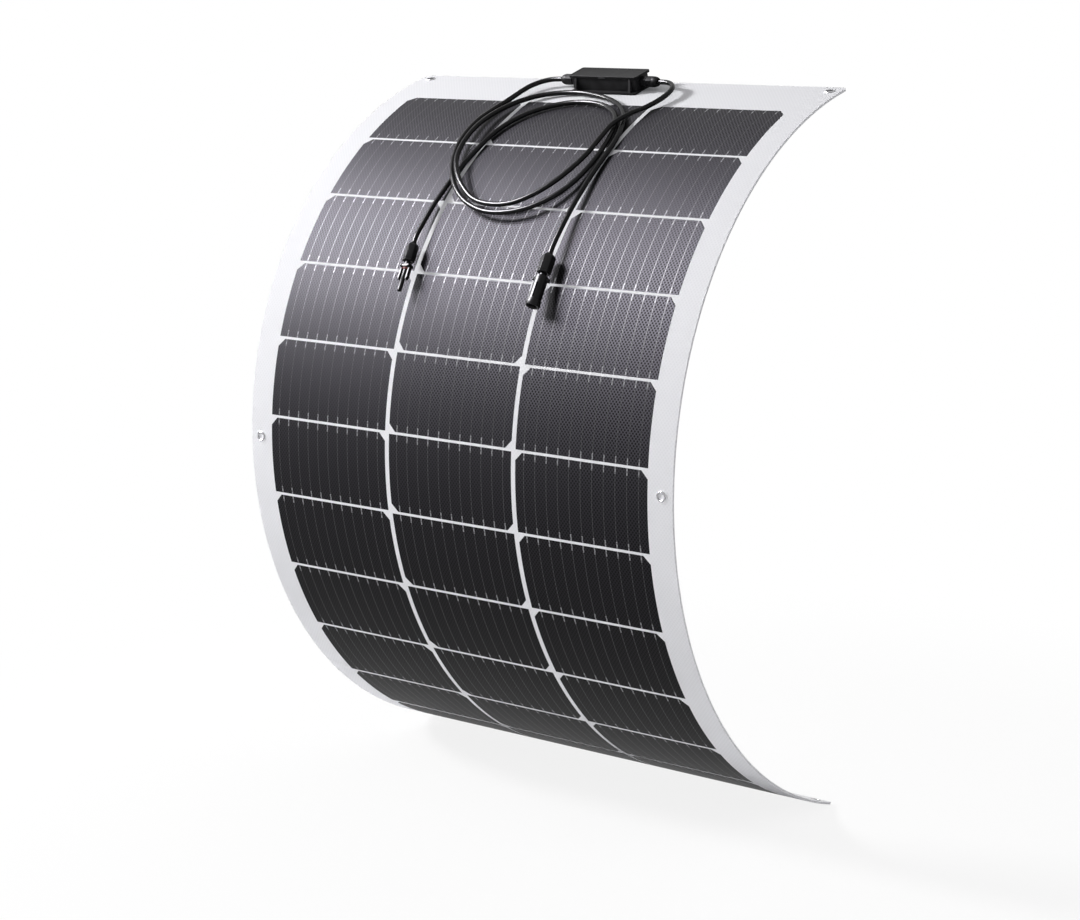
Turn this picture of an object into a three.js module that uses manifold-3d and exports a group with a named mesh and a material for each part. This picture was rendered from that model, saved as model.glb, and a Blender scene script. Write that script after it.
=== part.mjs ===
// A flexible solar sheet: 33 half-cut cells laminated between a backing sheet and a clear film, bent
// into an open arc, with a junction box, two output leads and their plug-in connectors.
// Millimetres, +Z up. X runs across the sheet, the cells face -Y, and the lowest edge lies at Z = 0.
import * as THREE from 'three';
import { mergeVertices } from 'three/addons/utils/BufferGeometryUtils.js';
import Module from 'manifold-3d';

const wasm = await Module();
wasm.setup();

// ---------------------------------------------------------------- driving dimensions

const cell = { width: 182, height: 91, corner: 9, columns: 3, rows: 11 };
const gap = { column: 6, row: 3, seam: 0.8 };
const margin = { side: 33, top: 75, bottom: 34 };
const cornerRadius = 7;
const bendRadius = 430;

// Thicknesses of the laminate's layers, how proud the cells lie and the gaps between the layers.
const layer = { board: 1.3, encapsulant: 0.5, cellProud: 0.15, film: 0.45, meet: 0.1 };

const rigidRows = 2;
const facetLength = 25;

const eyelet = {
  bore: 8, wall: 0.7, flange: 1.3, plate: 0.6, clearance: 0.15, seat: 0.3, fromSide: 15, fromEnd: 15,
};

const box = {
  fromTop: 28, length: 94, depth: 27, height: 17, wall: 2, floor: 2.5, flange: 6.5, flangePlate: 2.2,
  flangeEnd: 2, bond: 0.3, meet: 0.3, rib: 3, ribFromEnd: 7, glandHeight: 10, ribbonSlot: [26, 5],
};
const lid = { overEnd: 3, overSide: 1.5, plate: 3, plug: 2, clearance: 0.4 };
const gasket = { width: 1.2, height: 1.2, gap: 0.3, sunk: 0.2 };
const terminal = { length: 9, width: 7, height: 6, spacing: 30, clamp: { width: 3, depth: 1 }, screw: 2.8 };
const diode = { diameter: 5.2, length: 10, leg: 1.2 };

const cord = { diameter: 6, sides: 8, steps: 40, meet: 0.3, room: 0.4 };
const gland = {
  wall: 1.1, hexProud: 1.5, hexLength: 6, threadLength: 9, threadRoom: 0.3, throughWall: 2,
  nutWall: 1.7, nutLength: 17, dome: 6, domeIn: 1.6,
};

// The connectors lie along the sheet, each turned a little in its plane. Each has a six-sided cap nut on
// the neck of its housing.
const plug = { standOff: 4.9, cap: 23, capChamfer: 2.4, neck: 3.7, neckInCap: 10, meet: 0.3, lead: 9 };
const male = {
  u: -101.6, s: 326, tilt: 5.5, capFlats: 13, neck: 7, shoulder: { depth: 9, length: 4.3 },
  seal: { wall: 1, length: 1.6 }, sleeve: 5.5, sleeveLength: 27, pinBore: 3.6, pinDepth: 22,
  arm: { fromSeal: 0.45, thickness: 2.2, width: 5, length: 15, hook: 0.7, hookLength: 5 },
};
const female = {
  u: 99.7, s: 326, tilt: 2.7, capFlats: 14.6, neck: 7.8, barrel: 15, barrelLength: 37, roll: -15,
  collarProud: 0.7, collarLength: 7, ear: [2.4, 5, 4], earFromStart: 2, socket: 9, socketDepth: 16,
  contact: 3.2, contactLength: 9, slots: 4, slot: { width: 2.4, depth: 1.6, fromCollar: 2, fromStart: 9 },
};

// ---------------------------------------------------------------- sizes worked out from them

const rowPitch = cell.height + gap.row;
const columnPitch = cell.width + gap.column;
const cellsWidth = cell.columns * columnPitch - gap.column;
const cellsLength = cell.rows * rowPitch - gap.row;
const width = cellsWidth + 2 * margin.side;
const length = margin.top + cellsLength + margin.bottom;
const turn = length / bendRadius;

// Heights of the layers above the front of the board.
const board = { low: -layer.board, high: 0 };
const encapsulant = { low: layer.meet, high: layer.meet + layer.encapsulant };
const cellTop = encapsulant.high + layer.cellProud;
const film = { low: cellTop + layer.meet, high: cellTop + layer.meet + layer.film };

const eyeletProud = eyelet.seat + eyelet.plate;
const front = bendRadius + film.high + eyeletProud;
const back = (bendRadius + board.low) * Math.cos(turn / 2);
const arcY = (front + back) / 2;
const arcZ = (bendRadius + film.high) * Math.sin(turn / 2);

// Half the sheet's width at a place down it, less in its rounded corners.
function halfWidth(s) {
  const short = Math.max(0, cornerRadius - Math.min(s, length - s));
  return width / 2 - cornerRadius + Math.sqrt(cornerRadius ** 2 - short ** 2);
}

const rowTop = (row) => margin.top + (row - 1) * rowPitch;
const rowStart = (row) => rowTop(row) - gap.row / 2;

// ---------------------------------------------------------------- looks

const looks = {
  board: { color: 0xe4e6ea, roughness: 0.6 },
  cells: { color: 0x15161c, roughness: 0.3 },
  film: { color: 0xdfe2e8, roughness: 0.25 },
  steel: { color: 0xb9bcc0, roughness: 0.3, metalness: 1 },
  brass: { color: 0xc9a24a, roughness: 0.35, metalness: 1 },
  plastic: { color: 0x1a1a1c, roughness: 0.45 },
  rubber: { color: 0x101012, roughness: 0.7 },
  seal: { color: 0x8d3a35, roughness: 0.6 },
  cordSkin: { color: 0x141416, roughness: 0.4 },
};

const materials = {};
for (const [name, look] of Object.entries(looks)) {
  materials[name] = new THREE.MeshStandardMaterial(look);
}

const part = new THREE.Group();

function add(name, geometry, look, parent = part) {
  const mesh = new THREE.Mesh(geometry, materials[look]);
  mesh.name = name;
  parent.add(mesh);
  return mesh;
}

// ---------------------------------------------------------------- joining and cutting

function toSolid(geometry) {
  const bare = geometry.clone();
  for (const attribute of Object.keys(bare.attributes)) {
    if (attribute !== 'position') bare.deleteAttribute(attribute);
  }
  const merged = mergeVertices(bare, 1e-4);
  const vertProperties = new Float32Array(merged.attributes.position.array);
  const triVerts = new Uint32Array(merged.index.array);
  return new wasm.Manifold(new wasm.Mesh({ numProp: 3, vertProperties, triVerts }));
}

function toGeometry(solid) {
  const mesh = solid.getMesh();
  const geometry = new THREE.BufferGeometry();
  geometry.setAttribute('position', new THREE.BufferAttribute(new Float32Array(mesh.vertProperties), 3));
  geometry.setIndex(new THREE.BufferAttribute(new Uint32Array(mesh.triVerts), 1));
  geometry.computeVertexNormals();
  return geometry;
}

function join(first, ...others) {
  return toGeometry(others.reduce((sum, next) => sum.add(toSolid(next)), toSolid(first)));
}

function cut(first, ...others) {
  return toGeometry(others.reduce((rest, next) => rest.subtract(toSolid(next)), toSolid(first)));
}

// ---------------------------------------------------------------- simple solids

function block(sizeX, sizeY, sizeZ, x = 0, y = 0, z = 0) {
  return new THREE.BoxGeometry(sizeX, sizeY, sizeZ).translate(x, y, z);
}

// A round bar along Z from low to high.
function bar(radius, low, high, sides = 24, topRadius = radius) {
  return new THREE.CylinderGeometry(topRadius, radius, high - low, sides)
    .rotateX(Math.PI / 2)
    .translate(0, 0, (low + high) / 2);
}

function hexBar(flats, low, high) {
  return bar(flats / Math.sqrt(3), low, high, 6);
}

// A closed profile of [radius, height] points, turned about Z.
function turned(profile, sides) {
  const points = profile.map(([r, z]) => new THREE.Vector2(r, z));
  return new THREE.LatheGeometry(points, sides).rotateX(Math.PI / 2);
}

// A ring about Z with a rectangular section.
function ring(inner, outer, low, high, sides = 24) {
  const profile = [[inner, low], [outer, low], [outer, high], [inner, high], [inner, low]];
  return turned(profile, sides);
}

// ---------------------------------------------------------------- the bent sheet

const angleAt = (s) => turn / 2 - s / bendRadius;

// u runs across the sheet, s down its length from the top edge, h outwards from the front of the board.
function sheetPoint(u, s, h) {
  const radius = bendRadius + h;
  const angle = angleAt(s);
  return new THREE.Vector3(u, arcY - radius * Math.cos(angle), arcZ + radius * Math.sin(angle));
}

function stepsBetween(start, end) {
  const count = Math.max(1, Math.round((end - start) / facetLength));
  return Array.from({ length: count }, (_, i) => start + ((end - start) * i) / count);
}

// The places down the sheet where its flat facets meet. Every layer uses the same ones, and one facet is
// wide enough for the junction box. A rounded corner has steps of its own outside that facet.
const boxSeat = box.depth / 2 + box.flange + 1;
const cornerSteps = [0, 1, 2, 3].map((i) => cornerRadius * (1 - Math.cos((i * Math.PI) / 8)));
const boxFacet = [box.fromTop - boxSeat, box.fromTop + boxSeat];
const facetBreaks = [...cornerSteps.filter((s) => s < boxFacet[0]), ...boxFacet];
for (let row = 1; row <= cell.rows; row++) {
  const top = rowTop(row);
  const bottom = top + cell.height;
  const [from, to] = [top + cell.corner, bottom - cell.corner];
  if (row > 1) facetBreaks.push(rowStart(row));
  facetBreaks.push(top, ...stepsBetween(from, to), to, bottom);
}
facetBreaks.push(length - cornerRadius, ...cornerSteps.reverse().map((s) => length - s));

function breaksFrom(start, end) {
  return [start, ...facetBreaks.filter((s) => s > start && s < end), end];
}

// A closed solid that follows the bend. Each section is a place down the sheet and an outline of
// [across, height] points, the same number in each. Faces between points that coincide are left out.
function bentSolid(sections) {
  const count = sections[0].outline.length;
  const points = sections.flatMap(({ s, outline }) => outline.map(([u, h]) => sheetPoint(u, s, h)));
  const faces = [];
  const addFace = (...corners) => {
    const [a, b, c] = corners.map((i) => points[i]);
    if (Math.min(a.distanceTo(b), b.distanceTo(c), c.distanceTo(a)) > 1e-3) faces.push(...corners);
  };
  const last = count * (sections.length - 1);
  for (let k = 1; k + 1 < count; k++) {
    addFace(0, k + 1, k);
    addFace(last, last + k, last + k + 1);
  }
  for (let i = 0; i + 1 < sections.length; i++) {
    for (let k = 0; k < count; k++) {
      const here = count * i + k;
      const next = count * i + ((k + 1) % count);
      addFace(here, next, next + count);
      addFace(here, next + count, here + count);
    }
  }
  const geometry = new THREE.BufferGeometry().setFromPoints(points);
  geometry.setIndex(faces);
  geometry.computeVertexNormals();
  return geometry;
}

// A plain layer of the laminate from one place down the sheet to another.
function layerSlab(start, end, { low, high }) {
  const outlineAt = (half) => [[-half, low], [half, low], [half, high], [-half, high]];
  return bentSolid(breaksFrom(start, end).map((s) => ({ s, outline: outlineAt(halfWidth(s)) })));
}

// A group whose X runs across the sheet, Y up it and Z outwards, on the film at a place on a flat facet.
function onFacet(u, s) {
  const below = facetBreaks.findIndex((place) => place > s);
  const [start, end] = [facetBreaks[below - 1], facetBreaks[below]];
  const share = (s - start) / (end - start);
  const group = new THREE.Group();
  group.position.lerpVectors(sheetPoint(u, start, film.high), sheetPoint(u, end, film.high), share);
  group.rotation.x = Math.PI / 2 - angleAt((start + end) / 2);
  part.add(group);
  group.updateMatrixWorld(true);
  return group;
}

// ---------------------------------------------------------------- segments of the laminate

// The rigid top segment carries the box and the loop of leads. Below it each row is a segment of its own.
const segments = [{ name: 'top', start: 0, end: rowStart(rigidRows + 1) - gap.seam / 2, rows: [1, 2] }];
for (let row = rigidRows + 1; row <= cell.rows; row++) {
  segments.push({
    name: String(row).padStart(2, '0'),
    start: rowStart(row) + gap.seam / 2,
    end: row === cell.rows ? length : rowStart(row + 1) - gap.seam / 2,
    rows: [row],
  });
}

const eyelets = [
  { name: 'top', s: eyelet.fromEnd },
  { name: 'mid', s: length / 2 },
  { name: 'bottom', s: length - eyelet.fromEnd },
].flatMap(({ name, s }) => [-1, 1].map((side) => ({
  name: `eyelet_${name}_${side < 0 ? 'left' : 'right'}`,
  u: side * (width / 2 - eyelet.fromSide),
  s,
})));

function drillEyelets(slab, start, end) {
  const holes = eyelets.filter(({ s }) => s > start && s < end).map(({ u, s }) => {
    const radius = eyelet.bore / 2 + eyelet.wall + eyelet.clearance;
    const place = onFacet(u, s);
    part.remove(place);
    return bar(radius, -5, 5).applyMatrix4(place.matrixWorld);
  });
  return holes.length ? cut(slab, ...holes) : slab;
}

// Cells with two corners cut off, proud of the encapsulant. The outer columns have their cut corners at the
// top and the middle column at the bottom.
function cellRow(row, start, end) {
  const top = rowTop(row);
  const bottom = top + cell.height;
  const outlineAt = (s, padHeight) => {
    const pads = Array.from({ length: cell.columns }, (_, i) => i).flatMap((column) => {
      const middle = ((cell.columns - 1) / 2 - column) * columnPitch;
      const cutEnd = column % 2 === 1 ? bottom : top;
      const inset = Math.max(0, cell.corner - Math.abs(Math.min(Math.max(s, top), bottom) - cutEnd));
      const [left, right] = [middle - cell.width / 2 + inset, middle + cell.width / 2 - inset];
      return [[right, encapsulant.high], [right, padHeight], [left, padHeight], [left, encapsulant.high]];
    });
    const { low, high } = encapsulant;
    const half = halfWidth(s);
    return [[-half, low], [half, low], [half, high], ...pads, [-half, high]];
  };
  const flat = (s) => ({ s, outline: outlineAt(s, encapsulant.high) });
  const raised = (s) => ({ s, outline: outlineAt(s, cellTop) });
  return bentSolid([
    ...breaksFrom(start, top).map(flat),
    ...breaksFrom(top, bottom).map(raised),
    ...breaksFrom(bottom, end).map(flat),
  ]);
}

for (const { name, start, end, rows } of segments) {
  add(`backsheet_${name}`, drillEyelets(layerSlab(start, end, board), start, end), 'board');
  rows.forEach((row, i) => {
    const rowFrom = i === 0 ? start : rowStart(row) + gap.seam / 4;
    const rowTo = i === rows.length - 1 ? end : rowStart(row + 1) - gap.seam / 4;
    const cells = drillEyelets(cellRow(row, rowFrom, rowTo), rowFrom, rowTo);
    add(`cells_${String(row).padStart(2, '0')}`, cells, 'cells');
  });
  add(`front_film_${name}`, drillEyelets(layerSlab(start, end, film), start, end), 'film');
}

// ---------------------------------------------------------------- eyelets

function eyeletShape() {
  const inner = eyelet.bore / 2;
  const outer = inner + eyelet.wall;
  const rim = outer + eyelet.flange;
  const topLow = eyelet.seat;
  const bottomHigh = board.low - film.high - eyelet.seat;
  const profile = [
    [inner, bottomHigh - eyelet.plate], [rim, bottomHigh - eyelet.plate], [rim, bottomHigh],
    [outer, bottomHigh], [outer, topLow], [rim, topLow], [rim, topLow + eyelet.plate],
    [inner, topLow + eyelet.plate], [inner, bottomHigh - eyelet.plate],
  ];
  return turned(profile, 20);
}

for (const { name, u, s } of eyelets) {
  add(name, eyeletShape(), 'steel', onFacet(u, s));
}

// ---------------------------------------------------------------- junction box

const boxPlace = onFacet(0, box.fromTop);
const cordBore = cord.diameter / 2 + cord.room;
const threadRadius = cordBore + gland.wall;

// A wedge on the long wall: as deep as the flange at its foot, flush with the lid's edge at its top.
function boxRib(x, side) {
  const foot = box.depth / 2 + box.flange - 1;
  const head = box.depth / 2 + lid.overSide;
  const wall = box.depth / 2 - box.wall / 2;
  const outline = new THREE.Shape([
    new THREE.Vector2(wall, box.flangePlate / 2), new THREE.Vector2(foot, box.flangePlate / 2),
    new THREE.Vector2(head, box.height), new THREE.Vector2(wall, box.height),
  ]);
  const wedge = new THREE.ExtrudeGeometry(outline, { depth: box.rib, bevelEnabled: false });
  wedge.rotateX(Math.PI / 2).rotateZ(Math.PI / 2).translate(box.rib / 2, 0, 0);
  if (side < 0) wedge.rotateZ(Math.PI);
  return wedge.translate(x, 0, 0);
}

function boxBase() {
  const innerLength = box.length - 2 * box.wall;
  const innerDepth = box.depth - 2 * box.wall;
  const flangeSize = [box.length + 2 * box.flangeEnd, box.depth + 2 * box.flange];
  const flange = block(...flangeSize, box.flangePlate, 0, 0, box.flangePlate / 2);
  const shell = block(box.length, box.depth, box.height, 0, 0, box.height / 2);
  const ribAt = box.length / 2 - box.ribFromEnd;
  const ribs = [-1, 1].flatMap((side) => [-ribAt, ribAt].map((x) => boxRib(x, side)));
  const hollow = block(innerLength, innerDepth, box.height, 0, 0, box.floor + box.height / 2);
  const glandRadius = threadRadius + gland.threadRoom;
  const ends = bar(glandRadius, -box.length, box.length).rotateY(Math.PI / 2);
  ends.translate(0, 0, box.glandHeight);
  const ribbonSlot = block(...box.ribbonSlot, 4 * box.floor);
  return cut(join(flange, shell, ...ribs), hollow, ends, ribbonSlot);
}

add('box_base', boxBase().translate(0, 0, box.bond), 'plastic', boxPlace);

function boxLid() {
  const beside = box.wall + gasket.gap + gasket.width + lid.clearance;
  const seat = box.height + gasket.gap;
  const size = [box.length + 2 * lid.overEnd, box.depth + 2 * lid.overSide];
  const plate = block(...size, lid.plate, 0, 0, seat + lid.plate / 2);
  const [low, high] = [seat - lid.plug, seat + lid.plate / 2];
  const inside = block(box.length - 2 * beside, box.depth - 2 * beside, high - low, 0, 0, (low + high) / 2);
  return join(plate, inside);
}

add('box_lid', boxLid().translate(0, 0, box.bond), 'plastic', boxPlace);

// The gasket lies in the corner between the wall and the lid's plug.
function lidGasket() {
  const outer = [box.length, box.depth].map((size) => size - 2 * (box.wall + gasket.gap));
  const inner = outer.map((size) => size - 2 * gasket.width);
  const middle = box.height - gasket.sunk - gasket.height / 2;
  return cut(block(...outer, gasket.height, 0, 0, middle), block(...inner, 4 * gasket.height, 0, 0, middle));
}

add('lid_gasket', lidGasket().translate(0, 0, box.bond), 'rubber', boxPlace);

const floorTop = box.bond + box.floor + box.meet;

for (const [name, side] of [['terminal_negative', -1], ['terminal_positive', 1]]) {
  const post = block(terminal.length, terminal.width, terminal.height, 0, 0, terminal.height / 2);
  const { width: clampWidth, depth: clampDepth } = terminal.clamp;
  const clampSlot = block(2 * terminal.length, clampWidth, 2 * clampDepth, 0, 0, terminal.height);
  const screwHole = bar(terminal.screw / 2, terminal.height / 2, terminal.height + 1, 12);
  const shape = cut(post, clampSlot, screwHole);
  add(name, shape.translate((side * terminal.spacing) / 2, 0, floorTop), 'brass', boxPlace);
}

function diodeShape() {
  const legLength = terminal.spacing - terminal.length - 2 * box.meet;
  const body = bar(diode.diameter / 2, -diode.length / 2, diode.length / 2, 16);
  const legs = bar(diode.leg / 2, -legLength / 2, legLength / 2, 8);
  return join(body, legs).rotateY(Math.PI / 2);
}

add('bypass_diode', diodeShape().translate(0, 0, floorTop + diode.diameter / 2), 'plastic', boxPlace);

// ---------------------------------------------------------------- cable glands

const glandFace = box.length / 2 + cord.meet;
const nutStart = glandFace + gland.hexLength + cord.meet;
const nutEnd = nutStart + gland.nutLength;
const threadEnd = nutStart + gland.threadLength;

// Both are made along Z, from the box's end wall outwards. The thread passes through the wall.
function glandBody() {
  const inside = box.length / 2 - box.wall - gland.throughWall;
  const tube = bar(threadRadius, inside, threadEnd, 20);
  const hex = hexBar(2 * (threadRadius + gland.hexProud), glandFace, glandFace + gland.hexLength);
  const bore = bar(cordBore, inside - 1, threadEnd + 1, 20);
  return cut(join(tube, hex), bore);
}

function glandNut() {
  const shoulder = nutEnd - gland.dome;
  const roomRadius = threadRadius + gland.threadRoom;
  const nutRadius = roomRadius + gland.nutWall;
  const hex = hexBar(2 * nutRadius, nutStart, shoulder);
  const dome = bar(nutRadius, shoulder - 0.5, nutEnd, 24, nutRadius - gland.domeIn);
  const threadRoom = bar(roomRadius, nutStart - 1, threadEnd + cord.meet, 20);
  const mouth = bar(cordBore, nutStart, nutEnd + 1, 20);
  return cut(join(hex, dome), threadRoom, mouth);
}

for (const [name, side] of [['left', -1], ['right', 1]]) {
  const place = new THREE.Group();
  place.position.z = box.bond + box.glandHeight;
  place.rotation.y = (side * Math.PI) / 2;
  boxPlace.add(place);
  add(`gland_body_${name}`, glandBody(), 'plastic', place);
  add(`gland_nut_${name}`, glandNut(), 'plastic', place);
}

// ---------------------------------------------------------------- connectors

// Each connector's shapes are made along Z, with the cord's end at Z = 0 and the mating end at the higher Z.
const neckEnd = plug.cap + plug.neck;

function connectorPlace({ u, s, tilt, capFlats }) {
  const surface = new THREE.Group();
  surface.position.copy(sheetPoint(u, s, film.high));
  surface.rotation.x = Math.PI / 2 - angleAt(s);
  surface.rotateZ(THREE.MathUtils.degToRad(tilt));
  const axis = new THREE.Group();
  axis.position.z = plug.standOff + capFlats / 2;
  axis.rotation.x = Math.PI / 2;
  surface.add(axis);
  part.add(surface);
  surface.updateMatrixWorld(true);
  return axis;
}

// A six-sided cap nut with a flat side outwards, a narrower mouth for the cord and room for the neck.
function capNut({ capFlats, neck }) {
  const corner = capFlats / Math.sqrt(3);
  const chamfer = bar(corner - plug.capChamfer / 2, 0, plug.capChamfer, 6, corner);
  const body = bar(corner, plug.capChamfer, plug.cap, 6);
  const mouth = bar(cordBore, -1, plug.cap, 20);
  const neckRoom = bar(neck / 2 + plug.meet, plug.cap - plug.neckInCap - plug.meet, plug.cap + 1, 20);
  return cut(join(chamfer, body).rotateZ(Math.PI / 6), mouth, neckRoom);
}

const maleAxis = connectorPlace(male);
const shoulderEnd = neckEnd + male.shoulder.length;
const sealEnd = shoulderEnd + plug.meet + male.seal.length;
const sealInner = male.sleeve / 2 + plug.meet;
const armInner = sealInner + male.seal.wall + male.arm.fromSeal;
const armOuter = armInner + male.arm.thickness;
const sleeveStart = sealEnd + 2 * plug.meet;
const sleeveEnd = sleeveStart + male.sleeveLength;

// A neck in the cap nut, a shoulder for the arms and a stub that carries the seal and the sleeve.
function maleHousing() {
  const neck = bar(male.neck / 2, plug.cap - plug.neckInCap, neckEnd + 1, 20);
  const { depth, length: shoulderLength } = male.shoulder;
  const shoulder = block(2 * armOuter, depth, shoulderLength, 0, 0, neckEnd + shoulderLength / 2);
  const stub = bar(male.sleeve / 2, shoulderEnd - 1, sealEnd + plug.meet, 20);
  return join(neck, shoulder, stub);
}

function maleSleeve() {
  const tube = bar(male.sleeve / 2, sleeveStart, sleeveEnd, 20);
  const pinRoom = bar(male.pinBore / 2, sleeveEnd - male.pinDepth, sleeveEnd + 1, 16);
  return cut(tube, pinRoom);
}

// A springy arm with a hook at its free end, on the side of the housing.
function lockingArm(side) {
  const { width: armWidth, length: armLength, hook, hookLength } = male.arm;
  const start = shoulderEnd + plug.meet;
  const end = start + armLength;
  const hookStart = end - hookLength;
  const corners = [
    [armInner, start], [armOuter, start], [armOuter, hookStart], [armOuter + hook, hookStart + hook],
    [armOuter - hook, end], [armInner, end],
  ];
  const outline = new THREE.Shape(corners.map(([x, y]) => new THREE.Vector2(x, y)));
  const arm = new THREE.ExtrudeGeometry(outline, { depth: armWidth, bevelEnabled: false });
  arm.translate(0, 0, -armWidth / 2).rotateX(Math.PI / 2);
  return side > 0 ? arm : arm.rotateZ(Math.PI);
}

add('male_cap_nut', capNut(male), 'plastic', maleAxis);
add('male_housing', maleHousing(), 'plastic', maleAxis);
const seal = ring(sealInner, sealInner + male.seal.wall, sealEnd - male.seal.length, sealEnd);
add('male_seal', seal, 'seal', maleAxis);
add('male_sleeve', maleSleeve(), 'plastic', maleAxis);
add('locking_arm_left', lockingArm(-1), 'plastic', maleAxis);
add('locking_arm_right', lockingArm(1), 'plastic', maleAxis);

const femaleAxis = connectorPlace(female);
const barrelEnd = neckEnd + female.barrelLength;

// A barrel with slots along it, two ears near its start, a wider end and a socket in that end.
function femaleHousing() {
  const neck = bar(female.neck / 2, plug.cap - plug.neckInCap, neckEnd + 1, 20);
  const barrel = bar(female.barrel / 2, neckEnd, barrelEnd, 28);
  const collar = bar(female.barrel / 2 + female.collarProud, barrelEnd - female.collarLength, barrelEnd, 28);
  const [earDepth, earWidth, earLength] = female.ear;
  const earMiddle = neckEnd + female.earFromStart + earLength / 2;
  const ears = [-1, 1].map((side) => (
    block(2 * earDepth, earWidth, earLength, (side * female.barrel) / 2, 0, earMiddle)
  ));
  const { width: slotWidth, depth: slotDepth, fromCollar, fromStart } = female.slot;
  const slotLow = neckEnd + fromStart;
  const slotHigh = barrelEnd - female.collarLength - fromCollar;
  const slots = Array.from({ length: female.slots }, (_, i) => (
    block(2 * slotDepth, slotWidth, slotHigh - slotLow, female.barrel / 2, 0, (slotLow + slotHigh) / 2)
      .rotateZ((i * 2 * Math.PI) / female.slots)
  ));
  const socket = bar(female.socket / 2, barrelEnd - female.socketDepth, barrelEnd + 1, 24);
  return cut(join(neck, barrel, collar, ...ears), ...slots, socket);
}

function femaleContact() {
  const start = barrelEnd - female.socketDepth + plug.meet;
  return bar(female.contact / 2, start, start + female.contactLength, 12);
}

add('female_cap_nut', capNut(female), 'plastic', femaleAxis);
add('female_housing', femaleHousing().rotateZ(THREE.MathUtils.degToRad(female.roll)), 'plastic', femaleAxis);
add('female_contact', femaleContact(), 'brass', femaleAxis);

// ---------------------------------------------------------------- leads

// Places that each lead passes, as [across, down, height above the film]. It starts in its gland and
// ends in its connector. Where two leads cross, the upper one is a cord's diameter higher.
const negativeRoute = [
  [-88.6, 30.1, 9.6], [-98.9, 36, 8.8], [-106.4, 45, 7.8], [-110.6, 56, 6.8], [-113.2, 70, 5.8],
  [-116.6, 86, 5.2], [-121, 108, 6], [-124, 134, 8], [-121, 168, 10.2], [-114, 196, 10.6],
  [-101, 223, 10.6], [-80, 248, 10.6], [-53, 267, 11], [-22, 277, 11], [8, 277, 11], [37, 269, 10.4],
  [61, 253, 9], [77, 231, 7], [84, 208, 5.5], [86, 186, 4.4], [84, 163, 4], [79, 141, 4], [71, 121, 4],
  [57, 102, 4], [33, 86, 4], [3, 79, 4], [-28, 83, 4], [-57, 100, 4], [-76, 123, 4], [-88, 152, 4],
  [-94, 186, 4], [-98, 214, 4], [-101, 244, 4.8], [-103, 272, 6.6], [-103.3, 299, 9],
];
const positiveRoute = [
  [86.4, 29.8, 9.8], [95, 35, 9.4], [101.4, 43.4, 8.8], [104, 53.8, 8], [103.2, 64.4, 7], [99.6, 76.4, 6.2],
  [94, 91, 6.4], [86.8, 110, 9.5], [79, 134, 11.4], [78, 160, 11], [76, 186, 10.6], [68, 211, 10.8],
  [55, 234, 11.4], [37, 252, 12], [12, 265, 12], [-16, 268, 12], [-43, 263, 12.4], [-66, 249, 13.8],
  [-86, 230, 15], [-101, 207, 15.6], [-109, 176, 14.6], [-112, 146, 11.6], [-109, 117, 8.4], [-99, 90, 6],
  [-82, 70, 5], [-57, 58, 4.4], [-31, 54, 4], [-2, 59, 4], [31, 71, 4], [58, 89, 4], [77, 111, 4],
  [89, 137, 4], [95, 166, 4], [96, 194, 4.6], [97, 222, 6], [98, 250, 7.8], [98.6, 276, 9.6], [99, 301, 11.3],
];

function lead(side, route, axis) {
  const height = box.bond + box.glandHeight;
  const leaves = [nutEnd + cord.meet, nutEnd + cord.diameter].map((x) => (
    boxPlace.localToWorld(new THREE.Vector3(side * x, 0, height))
  ));
  const between = route.map(([u, s, h]) => sheetPoint(u, s, film.high + h));
  const arrives = [-plug.lead, -plug.meet].map((z) => axis.localToWorld(new THREE.Vector3(0, 0, z)));
  const path = new THREE.CatmullRomCurve3([...leaves, ...between, ...arrives], false, 'centripetal');
  const section = new THREE.Shape();
  for (let i = 0; i < cord.sides; i++) {
    const angle = (i * 2 * Math.PI) / cord.sides;
    const [x, y] = [(Math.cos(angle) * cord.diameter) / 2, (Math.sin(angle) * cord.diameter) / 2];
    if (i === 0) section.moveTo(x, y);
    else section.lineTo(x, y);
  }
  return new THREE.ExtrudeGeometry(section, { steps: cord.steps, bevelEnabled: false, extrudePath: path });
}

add('lead_negative', lead(-1, negativeRoute, maleAxis), 'cordSkin');
add('lead_positive', lead(1, positiveRoute, femaleAxis), 'cordSkin');

export default part;
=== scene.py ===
"""A flexible solar sheet bent into an open arc, with its junction box, its two leads and their plug-in
connectors. Metres, +Z up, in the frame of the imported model."""
import math

import bmesh
import bpy
from mathutils import Matrix, Vector


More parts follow.
